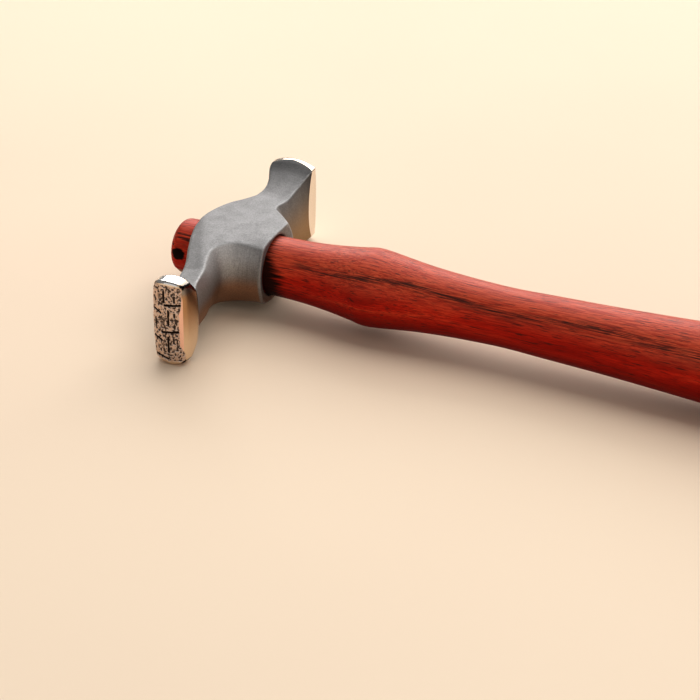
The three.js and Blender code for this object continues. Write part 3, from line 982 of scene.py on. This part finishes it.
def vein_share(n, x, angle):
    """A thin broken vein that wanders along the handle, with short streaks beside it."""
    wave = n.times(n.math("COSINE", n.times(n.minus(x, VEIN_CREST), VEIN_WAVES)), VEIN_SWING)
    ragged = n.times(n.minus(n.noise(1, 3, (260, 60, 60), 0.6), 0.5), 0.10)
    off_vein = n.minus(n.plus(n.minus(angle, wave), ragged), VEIN_ANGLE)
    off_vein = n.math("ABSOLUTE", off_vein)
    along = n.add("CombineXYZ", {0: x, 1: angle}).outputs[0]
    streaks = n.noise(1, 3, (80, 34, 1), 0.6, over=along)
    vein = n.times(n.ramp(off_vein, 0.030, 0.110, 1.0, 0.0), n.ramp(streaks, 0.42, 0.53))
    beside = n.times(n.ramp(off_vein, 0.06, 0.26, 1.0, 0.0), n.ramp(streaks, 0.50, 0.60), 0.8)
    on_shank = n.ramp(x, 0.006, 0.012)
    return n.times(n.math("MAXIMUM", vein, beside), on_shank, 0.92)


def boss_darkening_share(n, x, angle):
    """Darker beside the boss, running out along the fibres and further on the lower side."""
    runs = n.times(n.minus(n.noise(1, 2, (90, 1500, 1500)), 0.5), 0.009)
    reach = n.ramp(angle, 0.45, 1.5, -0.0006, 0.0042)
    spread = n.ramp(n.minus(n.plus(x, runs), reach), -0.0015, 0.0030, 0.97, 0.0)
    return n.times(spread, n.ramp(x, -0.0008, 0.0))


def patch_share(n, x, angle):
    """A small dark patch on the stub."""
    along = n.times(n.minus(x, PATCH_X), PATCH_ALONG)
    around = n.times(n.minus(angle, PATCH_ANGLE), PATCH_AROUND)
    away = n.math("SQRT", n.plus(n.times(along, along), n.times(around, around)))
    return n.ramp(n.plus(away, n.noise(1, 2, (300, 1200, 1200))), 1.3, 1.6, 1.0, 0.0)


def wood_material():
    n = Nodes("handle_wood")
    x, y, high = n.places()
    angle = n.math("ARCTAN2", n.times(y, -1.0), high)
    fibres = n.noise(1, 3, (60, 2600, 2600), 0.6, distortion=0.3)
    pores = n.noise(1, 2, (150, 3300, 3300))
    colour = wood_bands(n, x, high, fibres, pores)
    colour = n.blend(vein_share(n, x, angle), colour, VEIN)
    # darker beside the boss, further on the lower side
    boss_darkening = boss_darkening_share(n, x, angle)
    colour = n.blend(boss_darkening, colour, BOSS_DARK)

    # open pores and a small dark patch on the stub
    lines = n.ramp(n.noise(1, 2, (60, 1350, 1350)), 0.57, 0.63)
    lines = n.times(lines, n.ramp(x, -0.0235, -0.0240), n.ramp(high, 0.0015, 0.0035), 0.9)
    colour = n.blend(lines, colour, VEIN)
    dark_patch = patch_share(n, x, angle)
    colour = n.blend(dark_patch, colour, PATCH_DARK)

    dull = n.math("MAXIMUM", boss_darkening, dark_patch)
    gloss = n.blend_value(dull, n.ramp(high, -0.004, 0.004, 0.13, 0.34), 0.08)
    coat = n.blend_value(dull, n.ramp(high, 0.0015, 0.0075, 0.0, 0.40), 0.0)
    height = n.plus(n.times(fibres, 0.5), n.times(pores, -0.6))
    return n.surface(Base_Color=colour, Roughness=n.ramp(fibres, 0.3, 0.7, 0.42, 0.54),
                     Specular_IOR_Level=gloss, Specular_Tint=(1.0, 0.3, 0.22),
                     Coat_Weight=coat, Coat_Roughness=0.4, Coat_IOR=1.45,
                     Normal=n.bump(height, 0.00006))


END_GRAIN = ((0.16, 0.06, 0.025), (0.36, 0.17, 0.08))
FILED_STEEL = ((0.32, 0.3, 0.28), (0.5, 0.48, 0.46))
FLOOR_TONES = ((0.80, 0.64, 0.49), (0.83, 0.68, 0.52))


def wedge_wood_material():
    n = Nodes("wedge_wood")
    rings = n.noise(1, 3, (900, 700, 2500), 0.6)
    colour = n.blend(n.ramp(rings, 0.35, 0.65), *END_GRAIN)
    return n.surface(Base_Color=colour, Roughness=0.6, Normal=n.bump(rings, 0.0001))


def wedge_steel_material():
    n = Nodes("wedge_steel")
    file_marks = n.noise(1, 3, (500, 9000, 900), 0.6)
    colour = n.blend(n.ramp(file_marks, 0.35, 0.65), *FILED_STEEL)
    return n.surface(Base_Color=colour, Metallic=1.0, Roughness=0.42,
                     Normal=n.bump(file_marks, 0.00004))


def floor_material():
    n = Nodes("floor")
    tone = n.ramp(n.noise(3, 3), 0.3, 0.7)
    return n.surface(Base_Color=n.blend(tone, *FLOOR_TONES), Roughness=0.7)


# ---------- floor and studio light ----------
FLOOR_REACH = 3
WORLD_COLOUR = (0.8, 0.77, 0.74, 1)
WORLD_STRENGTH = 0.29
VIEW_GAMMA = 0.85
WHITE = (1, 1, 1)
LIGHTS = [                        # name, place, width, height, power and colour
    ("window", (-0.35, 1.35, 0.75), 2.2, 0.8, 18, WHITE),
    ("high", (-0.10, 0.55, 1.25), 1.8, 1.3, 17, WHITE),
    ("side", (1.15, -0.55, 0.95), 1.0, 1.0, 4, WHITE),
    ("room", (0.0, -1.8, 0.6), 3.4, 1.0, 6, (0.97, 0.98, 1.0)),
]


def make_floor():
    reach = FLOOR_REACH
    corners = [(-reach, -reach, 0), (reach, -reach, 0), (reach, reach, 0), (-reach, reach, 0)]
    floor = mesh_object("floor", corners, [(0, 1, 2, 3)], floor_material(), False)


def make_light(name, place, width, height, power, colour):
    """An area light that faces the boss's place on the floor."""
    data = bpy.data.lights.new(name, "AREA")
    data.shape = "RECTANGLE"
    data.size, data.size_y = width, height
    data.energy = power
    data.color = colour
    light = bpy.data.objects.new(name, data)
    light.location = place
    towards = Vector(place) - Vector((boss_x, 0, 0))
    light.rotation_euler = towards.to_track_quat("Z", "Y").to_euler()
    bpy.context.scene.collection.objects.link(light)


def make_world():
    world = bpy.data.worlds.new("studio")
    world.use_nodes = True
    background = world.node_tree.nodes["Background"]
    background.inputs["Color"].default_value = WORLD_COLOUR
    background.inputs["Strength"].default_value = WORLD_STRENGTH
    bpy.context.scene.world = world


make_floor()
make_world()
for light_values in LIGHTS:
    make_light(*light_values)
bpy.context.scene.view_settings.view_transform = "Standard"
bpy.context.scene.view_settings.gamma = VIEW_GAMMA

make_head(head_material())
make_handle(wood_material())
make_eye_wedge(wedge_wood_material())
make_cross_wedge(wedge_steel_material())
